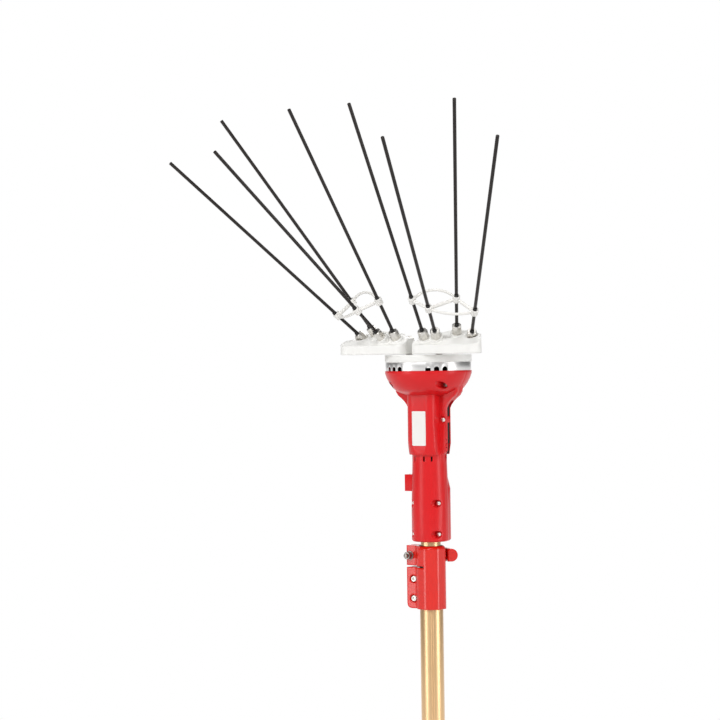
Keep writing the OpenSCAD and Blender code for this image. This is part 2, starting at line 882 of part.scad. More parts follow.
module crank_shaft() {
    low = mount_z;
    top = case_z + case_floor + yoke_gap;
    color(steel) translate([0, gear_distance, 0]) union() {
        translate([0, 0, low]) cylinder(r = shaft_r, h = mount_h + gap);
        translate([0, 0, low + mount_h + gap]) cylinder(r = crank_r, h = top - low - mount_h - gap);
        translate([0, 0, top]) cylinder(r = crank_disc_r, h = crank_disc_h);
        translate([crank_throw, 0, top + crank_disc_h]) cylinder(r = roller_pin_r, h = roller_h + yoke_gap);
    }
}

module crank_roller() {
    color(alloy) translate([crank_throw, gear_distance, yoke_z]) ring(roller_r, roller_pin_r + fit, roller_h);
}

module crank_bearings() {
    color(steel) translate([0, gear_distance, 0]) {
        translate([0, 0, mount_z + (mount_h - bearing_h) / 2]) ring(bearing_r, shaft_r + fit, bearing_h);
        translate([0, 0, case_z]) ring(bearing_r, crank_r + fit, case_floor);
    }
}

// Gear case and base

module case_vents() {
    for (g = case_vent_groups, k = [-1, 0, 1])
        rotate(g + k * case_vent_pitch) translate([case_r - case_vent_d, 0, case_z]) rotate([0, 90, 0])
            linear_extrude(case_vent_d + over) {
                translate([-case_vent_h + case_vent_w / 2, 0]) circle(case_vent_w / 2, $fn = 24);
                translate([-case_vent_h + case_vent_w / 2, -case_vent_w / 2])
                    square([case_vent_h - case_vent_w / 2 + over, case_vent_w]);
            }
}

module gear_case() {
    color(alloy) difference() {
        translate([0, 0, case_z]) cylinder(r = case_r, h = case_h, $fn = 128);
        translate([0, 0, case_z + case_floor]) cylinder(r = case_r - case_wall, h = case_h, $fn = 128);
        translate([0, gear_distance, case_z - over]) cylinder(r = bearing_r + fit, h = case_floor + 2 * over);
        both_sides() translate([pivot_x, -pivot_front, case_z - over])
            cylinder(r = swing_r + bush_wall + fit, h = case_floor + 2 * over);
        case_vents();
    }
}

module base_cover() {
    color(white) difference() {
        union() {
            translate([0, 0, cover_z]) cylinder(r = rim_r, h = base_h, $fn = 128);
            translate([0, 0, cover_z - case_lip + gap]) cylinder(r = case_r - case_wall - gap, h = case_lip);
        }
        translate([0, 0, cover_z - case_lip - over]) cylinder(r = case_r - 2 * case_wall, h = case_lip + over);
        both_sides() translate([pivot_x, -pivot_front, cover_z - over])
            cylinder(r = swing_r + bush_wall + fit, h = base_h + 2 * over);
    }
}

module shaft_bushes() {
    color(gold) both_sides() translate([pivot_x, -pivot_front, 0]) {
        translate([0, 0, case_z]) ring(swing_r + bush_wall, swing_r + fit, case_floor);
        translate([0, 0, cover_z]) ring(swing_r + bush_wall, swing_r + fit, base_h);
    }
}

// Hands, drawn as the right one

module swing_shaft() {
    top = hand_z + hub_h + hub_washer_h + hub_nut_h + over;
    color(steel) translate([pivot_x, -pivot_front, case_z]) cylinder(r = swing_r, h = top - case_z);
}

// Slotted yoke that the crank's roller rocks; each hand has its own layer
module yoke(layer) {
    hub = [pivot_x, -pivot_front];
    slot = [0, gear_distance];
    color(steel) translate([0, 0, yoke_z + layer * (yoke_h + yoke_gap)]) difference() {
        linear_extrude(yoke_h) {
            translate(hub) circle(yoke_hub_r);
            bar_plan(hub, slot, yoke_hub_r / 2);
            translate(slot) circle(slot_r + slot_wall);
        }
        translate([0, 0, -over]) linear_extrude(yoke_h + 2 * over) {
            translate(hub) circle(swing_r + fit);
            translate(slot) circle(slot_r);
        }
    }
}

function unit(v) = v / norm(v);
function rod_foot(i) = [hand_reach * rod_x_shares[i], -hand_front * rod_y_shares[i],
                        nut_z - rod_drop * rod_drop_shares[i]];
function rod_way(i) = unit([rod_lean_shares[i][0], rod_lean_shares[i][1], 1]);
function rod_point(i, s) = rod_foot(i) + s * rod_way(i);

module on_rod(i, s) {
    d = rod_way(i);
    translate(rod_point(i, s)) rotate([0, acos(d.z), atan2(d.y, d.x)]) children();
}

// Plan of a hand: a straight front bar, and the arms that carry it from the hub
module hand_plan() {
    hub = [pivot_x, -pivot_front];
    inner = [hand_gap_x + bar_end_r, -bar_front];
    outer = [hand_reach + tip_over - bar_end_r, -bar_front];
    rear = rod_foot(2) + [0, rear_shift, 0];
    last = rod_foot(3) + [0, rear_shift / 2, 0];
    bar_plan(inner, outer, bar_end_r, web_side_share);
    bar_plan(hub, inner, bar_end_r - web_step, web_side_share);
    bar_plan(hub, [rear.x, rear.y], hub_r - web_step, web_side_share);
    bar_plan([rear.x, rear.y], [last.x, last.y], bar_end_r, web_side_share);
}

module hand() {
    color(white) difference() {
        union() {
            difference() {
                translate([0, 0, hand_z]) linear_extrude(arm_h + hill_h + over) hand_plan();
                // Top face, with a low hill under the nuts
                difference() {
                    translate([-hand_reach, -2 * hand_front, hand_z + arm_h])
                        cube([3 * hand_reach, 3 * hand_front, 2 * hill_h]);
                    along_y(hill_x, -3 * hand_front, hand_z + arm_h + hill_h - hill_r, hill_r, 5 * hand_front);
                }
                // Sloping front
                translate([0, -bar_front - bar_end_r, hand_z + slope_low]) rotate([slope_turn, 0, 0])
                    translate([0, -arm_h, 0]) cube([2 * hand_reach, 3 * arm_h, 2 * arm_h]);
            }
            translate([pivot_x, -pivot_front, hand_z]) cylinder(r = hub_r, h = hub_h);
            for (i = rods)
                on_rod(i, -boss_len) cylinder(r = boss_big_r, h = boss_len - boss_top + over);
        }
        translate([pivot_x, -pivot_front, hand_z - over]) cylinder(r = swing_r + fit, h = arm_h + hub_h);
        translate([pivot_x, -pivot_front, hand_z + hub_h]) cylinder(r = hub_r - web_step / 2, h = arm_h);
        for (i = rods) {
            on_rod(i, -rod_tail) cylinder(r = rod_r + fit, h = rod_tail + nut_h);
            on_rod(i, -boss_top) cylinder(r = seat_r, h = 2 * nut_h);
        }
    }
}

module hub_nut() {
    z = hand_z + hub_h;
    color(steel) translate([pivot_x, -pivot_front, z]) difference() {
        union() {
            cylinder(r = hub_washer_r, h = hub_washer_h);
            translate([0, 0, hub_washer_h]) hex(hub_nut_af, hub_nut_h);
        }
        translate([0, 0, -over]) cylinder(r = swing_r + fit, h = hub_washer_h + hub_nut_h + 2 * over);
    }
}

module rod(i) {
    color(black) on_rod(i, -rod_tail) cylinder(r = rod_r, h = rod_tail + rod_len, $fn = 32);
}

module rod_nuts() {
    chamfer = nut_af / 2;
    color(steel) for (i = rods) on_rod(i, -boss_top) difference() {
        intersection() {
            hex(nut_af, nut_h);
            cylinder(r1 = chamfer + nut_h, r2 = chamfer, h = nut_h, $fn = 48);
        }
        translate([0, 0, -over]) cylinder(r = rod_r + fit, h = nut_h + 2 * over);
    }
}

module cone_on_rod(i, s, r, h) {
    on_rod(i, s) difference() {
        cylinder(r1 = r, r2 = rod_r + fit + arc_r / 2, h = h, $fn = 32);
        translate([0, 0, -over]) cylinder(r = rod_r + fit, h = h + 2 * over, $fn = 32);
    }
}

module rod_rubbers() {
    color(black) for (i = rods) {
        cone_on_rod(i, boss_top, ferrule_r, ferrule_h);
        cone_on_rod(i, spacer_up * spacer_shares[i] + sleeve_h / 2, stop_r, stop_h);
    }
}

function sleeve_at(i) = rod_point(i, spacer_up * spacer_shares[i]);

// Thin strut between two sleeves, bowed as an arc towards a direction
module strut(i, j, rise, way) {
    p = sleeve_at(i);
    q = sleeve_at(j);
    half = norm(q - p) / 2;
    r = (half * half + rise * rise) / (2 * rise);
    u = unit(q - p);
    n = unit(cross(u, way));
    v = cross(n, u);
    c = (p + q) / 2 + (rise - r) * v;
    turn = 2 * asin(half / r);
    multmatrix([[u.x, v.x, n.x, c.x], [u.y, v.y, n.y, c.y], [u.z, v.z, n.z, c.z], [0, 0, 0, 1]])
        rotate(90 - turn / 2) rotate_extrude(angle = turn) translate([r, 0]) circle(arc_r, $fn = 24);
}

module spacer() {
    color(white) difference() {
        union() {
            for (i = rods) on_rod(i, spacer_up * spacer_shares[i] - sleeve_h / 2) cylinder(r = sleeve_r, h = sleeve_h);
            for (i = [0, 1, 2]) bar(sleeve_at(i), sleeve_at(i + 1), bar_r);
            strut(0, 2, arc_rise, [0, 0, 1]);
            strut(1, 3, arc_rise / 2, [0, -1, -1]);
        }
        for (i = rods) {
            on_rod(i, spacer_up * spacer_shares[i] - sleeve_h) cylinder(r = rod_r + fit, h = 2 * sleeve_h);
            on_rod(i, spacer_up * spacer_shares[i] + sleeve_h / 2) cylinder(r = stop_r + gap, h = sleeve_h);
        }
    }
}

module left() {
    mirror([1, 0, 0]) children();
}

outer_tube();
grip_sleeve();
end_cap();
cable_gland();
switch_box();
switch_rocker();
switch_pin();
clamp_body();
clamp_liner();
clamp_screws();
clamp_nuts();
lever_bolt();
lever_nut();
lever_pin();
cam_lever();
inner_tube();
tube_foot();
front_shell();
rear_shell();
shell_screws();
tube_pin();
motor_can();
motor_magnets();
motor_cap();
motor_mount();
motor_bearings();
armature();
pinion();
drive_gear();
crank_shaft();
crank_roller();
crank_bearings();
gear_case();
base_cover();
shaft_bushes();
swing_shaft();  // swing_shaft_right
left() swing_shaft();  // swing_shaft_left
yoke(0);  // yoke_right
left() yoke(1);  // yoke_left
hand();  // hand_right
left() hand();  // hand_left
hub_nut();  // hub_nut_right
left() hub_nut();  // hub_nut_left
for (i = rods) {
    rod(i);
    left() rod(i);
}
rod_nuts();  // rod_nuts_right
left() rod_nuts();  // rod_nuts_left
rod_rubbers();  // rod_rubbers_right
left() rod_rubbers();  // rod_rubbers_left
spacer();  // spacer_right
left() spacer();  // spacer_left
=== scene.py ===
"""Electric olive harvester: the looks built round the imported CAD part."""
import json
import math

import bmesh
import bpy
from mathutils import Matrix, Vector


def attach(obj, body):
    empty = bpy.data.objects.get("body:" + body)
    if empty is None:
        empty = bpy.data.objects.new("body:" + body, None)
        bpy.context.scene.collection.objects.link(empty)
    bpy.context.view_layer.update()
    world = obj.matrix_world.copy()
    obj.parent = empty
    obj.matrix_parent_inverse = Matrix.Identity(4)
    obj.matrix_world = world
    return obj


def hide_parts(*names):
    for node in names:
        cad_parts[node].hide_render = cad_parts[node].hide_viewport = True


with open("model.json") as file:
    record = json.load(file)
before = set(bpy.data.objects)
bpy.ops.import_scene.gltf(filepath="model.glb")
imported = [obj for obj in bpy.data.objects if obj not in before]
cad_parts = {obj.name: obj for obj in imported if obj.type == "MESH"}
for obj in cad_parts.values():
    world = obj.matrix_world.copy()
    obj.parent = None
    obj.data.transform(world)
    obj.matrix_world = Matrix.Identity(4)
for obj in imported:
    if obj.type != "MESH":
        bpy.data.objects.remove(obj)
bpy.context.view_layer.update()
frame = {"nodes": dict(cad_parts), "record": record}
NODES = frame["nodes"]
BODIES = frame["record"]["behaviour"]["bodies"]
BODY_OF = {node: body for body, nodes in BODIES.items() for node in nodes}
SLOT_OF = {part["node"]: part["material_slot"] for part in frame["record"]["subparts"]}
MM = 0.001


# Small helpers for node trees

def linear(hex_colour):
    """sRGB hex colour as linear RGBA."""
    values = [int(hex_colour[i:i + 2], 16) / 255 for i in (1, 3, 5)]
    return [v / 12.92 if v <= 0.04045 else ((v + 0.055) / 1.055) ** 2.4 for v in values] + [1.0]


def add(tree, kind, settings=None, links=None):
    """Adds a node; settings are properties or socket values, links feed its sockets."""
    node = tree.nodes.new(kind)
    for key, value in (settings or {}).items():
        if isinstance(key, str) and hasattr(node, key):
            setattr(node, key, value)
        else:
            node.inputs[key].default_value = value
    for key, source in (links or {}).items():
        tree.links.new(source, node.inputs[key])
    return node


# Middle part of a noise that spreads over the whole range of a roughness
NOISE_LOW, NOISE_HIGH = 0.3, 0.7
# Width in mm of the change at the edge of the painted shade within a radius, and the roughness within it
SHADE_EDGE, SHADE_ROUGH = 0.4, 0.8


def finish(name, dark, light, rough, metal=0.0, grain_mm=0.8, grain_depth=0.0, patch_mm=14,
           stretch=(1, 1, 1), inside=None, **sockets):
    """A material with patchy colour, uneven gloss and a fine grain, all in millimetres.

    dark and light are the patches' colours, and rough is the range of roughness.
    inside gives a radius about the part's long axis, and the dark colour painted within it as shade."""
    made = bpy.data.materials.new(name)
    made.use_nodes = True
    tree = made.node_tree
    tree.nodes.clear()
    shader = add(tree, "ShaderNodeBsdfPrincipled", {"Metallic": metal, **sockets})
    add(tree, "ShaderNodeOutputMaterial", links={"Surface": shader.outputs[0]})
    place = add(tree, "ShaderNodeTexCoord").outputs["Object"]
    where = add(tree, "ShaderNodeVectorMath", {"operation": "MULTIPLY", 1: [s / MM for s in stretch]},
                {0: place}).outputs[0]
    patches = add(tree, "ShaderNodeTexNoise", {"Scale": 1 / patch_mm, "Detail": 2.0}, {"Vector": where})
    grain = add(tree, "ShaderNodeTexNoise", {"Scale": 1 / grain_mm, "Detail": 3.0}, {"Vector": where})
    colour = add(tree, "ShaderNodeMix", {"data_type": "RGBA", 6: linear(dark), 7: linear(light)},
                 {0: patches.outputs["Fac"]})
    gloss = add(tree, "ShaderNodeMapRange", {"From Min": NOISE_LOW, "From Max": NOISE_HIGH,
                                             "To Min": rough[0], "To Max": rough[1]},
                {"Value": grain.outputs["Fac"]})
    # Within the radius the colour is darkened and the roughness raised: painted shade
    if inside:
        across = add(tree, "ShaderNodeVectorMath", {"operation": "MULTIPLY", 1: [1 / MM, 1 / MM, 0.0]},
                     {0: place})
        radius = add(tree, "ShaderNodeVectorMath", {"operation": "LENGTH"}, {0: across.outputs[0]})
        outer = add(tree, "ShaderNodeMapRange",
                    {"From Min": inside[0] - SHADE_EDGE, "From Max": inside[0]},
                    {"Value": radius.outputs["Value"]})
        colour = add(tree, "ShaderNodeMix", {"data_type": "RGBA", 6: linear(inside[1])},
                     {0: outer.outputs[0], 7: colour.outputs[2]})
        gloss = add(tree, "ShaderNodeMix", {"data_type": "FLOAT", 2: SHADE_ROUGH},
                    {0: outer.outputs[0], 3: gloss.outputs[0]})
    tree.links.new(colour.outputs[2], shader.inputs["Base Color"])
    tree.links.new(gloss.outputs[0], shader.inputs["Roughness"])
    if grain_depth:
        relief = add(tree, "ShaderNodeBump", {"Distance": grain_depth * MM},
                     {"Height": grain.outputs["Fac"]})
        tree.links.new(relief.outputs[0], shader.inputs["Normal"])
    return made


# Materials, by the slots of the CAD part
# Grains and die lines are drawn coarser than the real ones, which are too fine for a picture
MATERIALS = {
    # Red ABS from a spark-eroded mould: saturated colour, soft highlights
    "red_plastic": finish("red moulded ABS", "#D81116", "#E01C21", (0.26, 0.36), grain_mm=0.5,
                          grain_depth=0.004, **{"Specular IOR Level": 0.35}),
    # White moulded nylon: matt, faintly warm
    "white_nylon": finish("white moulded nylon", "#EFEEEA", "#F6F5F2", (0.38, 0.52), grain_mm=0.6,
                          grain_depth=0.01),
    # Gold anodised extrusion: die lines draw its highlights out, and the clear oxide skin whitens them
    "gold_tube": finish("gold anodised aluminium", "#E6BD8A", "#ECC694", (0.34, 0.38), metal=0.96,
                        grain_mm=0.35, grain_depth=0.0006, patch_mm=5, stretch=(1, 1, 0.006),
                        **{"Coat Weight": 0.6, "Coat Roughness": 0.22}),
    # Closed-cell EVA foam: dull, with fine pores
    "foam": finish("black EVA foam", "#161616", "#232222", (0.8, 0.95), grain_mm=0.5, grain_depth=0.12),
    # Black moulded plastic: even and satin
    "black_plastic": finish("black moulded plastic", "#181717", "#22201F", (0.4, 0.55), grain_mm=0.4,
                            grain_depth=0.01),
    # Zinc-plated steel: bright, slightly clouded
    "plated_steel": finish("zinc-plated steel", "#D0CDC7", "#E4E1DC", (0.24, 0.36), metal=1.0, grain_mm=0.3,
                           grain_depth=0.002, patch_mm=4),
    # Milled aluminium: bright, with a fine grain
    "alloy": finish("milled aluminium", "#D2D1D0", "#E6E5E4", (0.28, 0.4), metal=1.0, grain_mm=0.3,
                    grain_depth=0.003, patch_mm=6),
    # Sintered ferrite: dark and dull
    "magnet": finish("sintered ferrite", "#1C1B1B", "#2A2828", (0.6, 0.8)),
    # Sintered bronze: brown and dry
    "bronze": finish("sintered bronze", "#8C6A38", "#A98449", (0.3, 0.45), metal=1.0, grain_mm=0.4,
                     grain_depth=0.01),
    # Moulded rubber: black and dull
    "rubber": finish("black rubber", "#141313", "#1E1C1C", (0.6, 0.75), grain_mm=0.5, grain_depth=0.02),
    # Pultruded carbon fibre: near black, with a grey line of light on its resin skin
    "carbon": finish("pultruded carbon fibre", "#17120F", "#241D1A", (0.26, 0.36), grain_mm=0.4,
                     **{"Specular IOR Level": 0.35}),
}
# Glass-filled nylon of the clamp and its lever: a warmer red with a polished mould's gloss
CLAMP_RED = finish("polished red nylon", "#DC170C", "#E52416", (0.14, 0.22), grain_mm=2.0, patch_mm=18,
                   **{"Coat Weight": 0.35, "Coat Roughness": 0.1, "Specular IOR Level": 0.35})
# Natural nylon of the rod spacers: milky and smooth
CLEAR_NYLON = finish("natural nylon", "#ECEAE5", "#F3F1ED", (0.34, 0.44), grain_mm=2.0)
# Zinc-plated steel of the lever's bolt, greyer from its thicker passivation; the same dark grey on the
# dish's screws is painted shade for their deep seats
GREY_ZINC_AND_SHADE = finish("grey passivated zinc and painted shade", "#86837E", "#A09D97", (0.26, 0.38), metal=1.0, grain_mm=0.3,
                   patch_mm=4)
# Aluminium of the gear case: turned bright outside with fine lines round it, and a dark colour painted
# within as shade, so that its vents look dark inside
CASE_ALLOY = finish("turned aluminium, painted shade inside", "#D2D1D0", "#E6E5E4", (0.28, 0.4), metal=1.0,
                    grain_mm=0.3, grain_depth=0.003, patch_mm=6, stretch=(0.02, 0.02, 1),
                    inside=(62.6, "#2A2827"))
# Plain white vinyl of the label place, left bare
LABEL = finish("plain white vinyl", "#EDEBE6", "#F4F2EE", (0.35, 0.5), grain_mm=1.2, grain_depth=0.004)


# Pieces

def finished(mesh, name, body, material, stands_for=()):
    """A finished piece at the origin that rides on a CAD body."""
    mesh.materials.clear()
    mesh.materials.append(material)
    piece = bpy.data.objects.new(name, mesh)
    bpy.context.collection.objects.link(piece)
    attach(piece, body)
    if stands_for:
        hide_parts(*stands_for)
    return piece


def applied(mesh, modifiers):
    """The mesh after a list of (type, settings) modifiers."""
    holder = bpy.data.objects.new("holder", mesh)
    bpy.context.collection.objects.link(holder)
    for i, (kind, settings) in enumerate(modifiers):
        mod = holder.modifiers.new("step%d" % i, kind)
        for key, value in settings.items():
            setattr(mod, key, value)
    graph = bpy.context.evaluated_depsgraph_get()
    made = bpy.data.meshes.new_from_object(holder.evaluated_get(graph))
    bpy.data.objects.remove(holder)
    return made


def smoothed(mesh, angle=38):
    """The mesh with smooth faces, and sharp edges where faces meet at more than an angle in degrees."""
    mesh.shade_smooth()
    mesh.set_sharp_from_angle(angle=math.radians(angle))
    return mesh


# Points of a CAD mesh this close are one point, and faces within this angle are one flat face
MERGE, FLAT = 0.002 * MM, math.radians(0.4)


def cad_copy(node):
    """Copy of a CAD node's mesh, merged, with the flat faces joined."""
    bm = bmesh.new()
    bm.from_mesh(NODES[node].data)
    bmesh.ops.remove_doubles(bm, verts=bm.verts, dist=MERGE)
    bmesh.ops.dissolve_limit(bm, angle_limit=FLAT, verts=bm.verts, edges=bm.edges)
    mesh = bpy.data.meshes.new(node + "_copy")
    bm.to_mesh(mesh)
    bm.free()
    return mesh


def eased(node, width_mm, segments=2, angle=40):
    """A CAD node with its sharp edges rounded as a mould or a tool leaves them."""
    edge = {"width": width_mm * MM, "segments": segments, "limit_method": "ANGLE",
            "angle_limit": math.radians(angle), "use_clamp_overlap": True, "miter_outer": "MITER_ARC"}
    return smoothed(applied(cad_copy(node), [("BEVEL", edge)]))


def moulded(node, voxel_mm, rounds):
    """A CAD node remeshed and softened as a thick moulding is."""
    return smoothed(applied(cad_copy(node), [
        ("REMESH", {"mode": "VOXEL", "voxel_size": voxel_mm * MM}),
        ("SMOOTH", {"factor": 0.5, "iterations": rounds})]), 60)


def repeater():
    """Node group that sets one piece on every point of a mesh, turned by the points' own turn."""
    group = bpy.data.node_groups.new("repeat on points", "GeometryNodeTree")
    face = group.interface
    face.new_socket("Geometry", in_out="INPUT", socket_type="NodeSocketGeometry")
    sockets = {name: face.new_socket(name, in_out="INPUT", socket_type="NodeSocket" + kind).identifier
               for name, kind in (("Piece", "Object"), ("Finish", "Material"), ("Scale", "Float"))}
    face.new_socket("Geometry", in_out="OUTPUT", socket_type="NodeSocketGeometry")
    given = add(group, "NodeGroupInput")
    piece = add(group, "GeometryNodeObjectInfo", links={"Object": given.outputs["Piece"]})
    turn = add(group, "GeometryNodeInputNamedAttribute", {"data_type": "FLOAT_VECTOR", "Name": "turn"})
    spin = add(group, "FunctionNodeEulerToRotation", links={0: turn.outputs[0]})
    size = add(group, "ShaderNodeCombineXYZ", links={k: given.outputs["Scale"] for k in (0, 1, 2)})
    copies = add(group, "GeometryNodeInstanceOnPoints", links={
        "Points": given.outputs["Geometry"], "Instance": piece.outputs["Geometry"],
        "Rotation": spin.outputs[0], "Scale": size.outputs[0]})
    real = add(group, "GeometryNodeRealizeInstances", links={0: copies.outputs[0]})
    painted = add(group, "GeometryNodeSetMaterial", links={"Geometry": real.outputs[0],
                                                           "Material": given.outputs["Finish"]})
    add(group, "NodeGroupOutput", links={0: painted.outputs[0]})
    return group, sockets


REPEAT, REPEAT_SOCKETS = repeater()


def repeated(source, spots, material, scale=1.0):
    """Copies of a source mesh at spots, each a place in metres and the way its Z points."""
    points = bpy.data.meshes.new("spots")
    points.from_pydata([place for place, way in spots], [], [])
    turn = points.attributes.new("turn", "FLOAT_VECTOR", "POINT")
    for i, (place, way) in enumerate(spots):
        turn.data[i].vector = Vector(way).to_track_quat("Z", "Y").to_euler()
    seed = bpy.data.objects.new("seed piece", source)
    holder = bpy.data.objects.new("repeat holder", points)
    for obj in (seed, holder):
        bpy.context.collection.objects.link(obj)
    mod = holder.modifiers.new("repeat", "NODES")
    mod.node_group = REPEAT
    mod[REPEAT_SOCKETS["Piece"]] = seed
    mod[REPEAT_SOCKETS["Finish"]] = material
    mod[REPEAT_SOCKETS["Scale"]] = scale
    graph = bpy.context.evaluated_depsgraph_get()
    made = bpy.data.meshes.new_from_object(holder.evaluated_get(graph))
    for obj in (holder, seed):
        bpy.data.objects.remove(obj)
    return smoothed(made)


# Radius of a ring at an angle in degrees, as a share of its full radius
RING_FORMS = {
    "round": lambda a: 1.0,
    "hex": lambda a: math.cos(math.pi / 6) / math.cos(math.radians(a % 60 - 30)),
    "cross": lambda a: 1.0 if min(a % 90, 90 - a % 90) < 13 else 0.4,
}


def turned(name, profile, steps=48, angle=30):
    """A turned piece about Z from (radius, height) or (radius, height, form) points in mm."""
    bm = bmesh.new()
    rings = []
    for r, z, *form in profile:
        shape = RING_FORMS[form[0] if form else "round"]
        angles = [360 * k / steps for k in range(steps)] if r else [0]
        rings.append([bm.verts.new((r * shape(a) * MM * math.cos(math.radians(a)),
                                    r * shape(a) * MM * math.sin(math.radians(a)), z * MM))
                      for a in angles])
    for low, high in zip(rings, rings[1:]):
        for k in range(steps):
            n = (k + 1) % steps
            corners = [low[k % len(low)], low[n % len(low)], high[n % len(high)], high[k % len(high)]]
            bm.faces.new(list(dict.fromkeys(corners)))
    bmesh.ops.recalc_face_normals(bm, faces=bm.faces)
    mesh = bpy.data.meshes.new(name)
    bm.to_mesh(mesh)
    bm.free()
    return smoothed(mesh, angle)


def islands(node):
    """Lowest and highest corners of each separate solid of a CAD node, in metres."""
    bm = bmesh.new()
    bm.from_mesh(NODES[node].data)
    bmesh.ops.remove_doubles(bm, verts=bm.verts, dist=MERGE)
    left, boxes = set(bm.verts), []
    while left:
        stack, found = [left.pop()], []
        while stack:
            v = stack.pop()
            found.append(v.co.copy())
            for e in v.link_edges:
                w = e.other_vert(v)
                if w in left:
                    left.remove(w)
                    stack.append(w)
        boxes.append((Vector(map(min, *found)), Vector(map(max, *found))))
    bm.free()
    return boxes


def dress(node, mesh, material=None):
    """The finished look of one CAD node, in the material of its slot unless another is given."""
    return finished(mesh, node + "_look", BODY_OF[node],
                    material or MATERIALS[SLOT_OF[node]], [node])


# Every CAD node gets its material first; those that show are then dressed
for node, obj in NODES.items():
    obj.data.materials.clear()
    obj.data.materials.append(MATERIALS[SLOT_OF[node]])

SIDES, ROD_NUMBERS = ("right", "left"), (1, 2, 3, 4)
# Mesh width in mm and rounds of softening of each thick moulding
HAND_MOULD, LEVER_MOULD, CLAMP_MOULD, SPACER_MOULD = (0.8, 10), (0.6, 12), (0.75, 10), (0.4, 8)
# Edge radius in mm of small hardware, of cut tube and rod ends, and of rubber
NUT_EDGE, CUT_EDGE, RUBBER_EDGE = 0.3, 0.4, 0.2
for side in SIDES:
    dress("hand_" + side, moulded("hand_" + side, *HAND_MOULD))
    dress("rod_nuts_" + side, eased("rod_nuts_" + side, CUT_EDGE))
    dress("hub_nut_" + side, eased("hub_nut_" + side, NUT_EDGE))
dress("cam_lever", moulded("cam_lever", *LEVER_MOULD), CLAMP_RED)

# Clamp: its eight sides are crowned, so that each carries a long highlight
CLAMP_R, CROWN_SHARE, EAR_X = 22.5, 0.3, -16.0
clamp = moulded("clamp_body", *CLAMP_MOULD)
for v in clamp.vertices:
    r = v.co.xy.length / MM
    if r > CLAMP_R and v.co.x / MM > EAR_X:
        v.co.xy *= (CLAMP_R + (r - CLAMP_R) * CROWN_SHARE) / r
dress("clamp_body", clamp, CLAMP_RED)

# Edge radius in mm that the mould or the tool leaves on each of these
EDGES = {"front_shell": 0.8, "rear_shell": 0.8, "switch_box": 1.4, "switch_rocker": 0.5, "base_cover": 0.6,
         "clamp_nuts": NUT_EDGE, "end_cap": 0.5, "cable_gland": CUT_EDGE}
for node, width in EDGES.items():
    dress(node, eased(node, width))
dress("gear_case", eased("gear_case", CUT_EDGE), CASE_ALLOY)
for node in ("lever_nut", "lever_bolt"):
    dress(node, eased(node, NUT_EDGE), GREY_ZINC_AND_SHADE)

# Tubes and rods: smooth, with a small edge at their ends
for node in ["outer_tube", "inner_tube"] + ["rod_%s_%d" % (side, k) for side in SIDES for k in ROD_NUMBERS]:
    dress(node, eased(node, CUT_EDGE))


def rod_axes(side):
    """A point on each rod of one hand and the way the rod runs, from the middles of its end quarters."""
    axes = []
    for k in ROD_NUMBERS:
        points = sorted((v.co for v in NODES["rod_%s_%d" % (side, k)].data.vertices), key=lambda c: c.z)
        ends = points[:len(points) // 4], points[-len(points) // 4:]
        low, high = (sum(part, Vector()) / len(part) for part in ends)
        axes.append((low, (high - low).normalized()))
    return axes


def nearest_foot(place, axes):
    """The point nearest to a place on any of the rods' axes."""
    feet = (start + way * (place - start).dot(way) for start, way in axes)
    return min(feet, key=lambda foot: (place - foot).length)


# Rubber rings of the rods: drawn in so that they sit close on the rods
ROD_R, RING_SHARE = 2.5, 0.45
# Spacers: their bars swell by this much away from the rods, from one distance to another
SWELL, SWELL_FROM, SWELL_FULL = 0.5, 5.6, 8.0
for side in SIDES:
    axes = rod_axes(side)
    rings = eased("rod_rubbers_" + side, RUBBER_EDGE)
    for v in rings.vertices:
        foot = nearest_foot(v.co, axes)
        out = v.co - foot
        r = out.length / MM
        if r > ROD_R:
            v.co = foot + out * (ROD_R + (r - ROD_R) * RING_SHARE) / r
    dress("rod_rubbers_" + side, smoothed(rings))
    bars = moulded("spacer_" + side, *SPACER_MOULD)
    ways = [v.normal.copy() for v in bars.vertices]
    for v, way in zip(bars.vertices, ways):
        r = (v.co - nearest_foot(v.co, axes)).length / MM
        v.co += way * SWELL * MM * min(max((r - SWELL_FROM) / (SWELL_FULL - SWELL_FROM), 0), 1)
    dress("spacer_" + side, bars, CLEAR_NYLON)

# Screws, repeated from one turned head each; a head faces the front
FRONT = Vector((0, -1, 0))
CROSS_HEAD_H, SOCKET_HEAD_H = 2.4, 3.0
CROSS_HEAD = turned("cross head screw", [
    (0, -11), (1.9, -11), (1.9, 0), (3.6, 0), (3.6, 1.2), (3.3, 1.9), (2.6, 2.3), (2.1, CROSS_HEAD_H),
    (1.9, CROSS_HEAD_H, "cross"), (1.4, 0.9, "cross"), (0, 0.8)])
SOCKET_HEAD = turned("socket head screw", [
    (0, -20), (2.5, -20), (2.5, 0), (4.5, 0), (4.5, 2.4), (4.3, 2.8), (3.9, SOCKET_HEAD_H),
    (2.6, SOCKET_HEAD_H), (2.3, 2.8, "hex"), (2.3, 0.8, "hex"), (0, 0.6)])
# Height above which a shell screw is one of the dish's
DISH_LOW = 880.0
for node, source, head in (("shell_screws", CROSS_HEAD, CROSS_HEAD_H),
                           ("clamp_screws", SOCKET_HEAD, SOCKET_HEAD_H)):
    spots = [(Vector(((lo.x + hi.x) / 2, lo.y + head * MM, (lo.z + hi.z) / 2)), FRONT)
             for lo, hi in islands(node)]
    screws = dress(node, repeated(source, spots, MATERIALS["plated_steel"]))
    if node == "shell_screws":
        # The two screws deep in the dish take the dark grey finish as painted shade
        screws.data.materials.append(GREY_ZINC_AND_SHADE)
        for face in screws.data.polygons:
            face.material_index = int(face.center.z > DISH_LOW * MM)

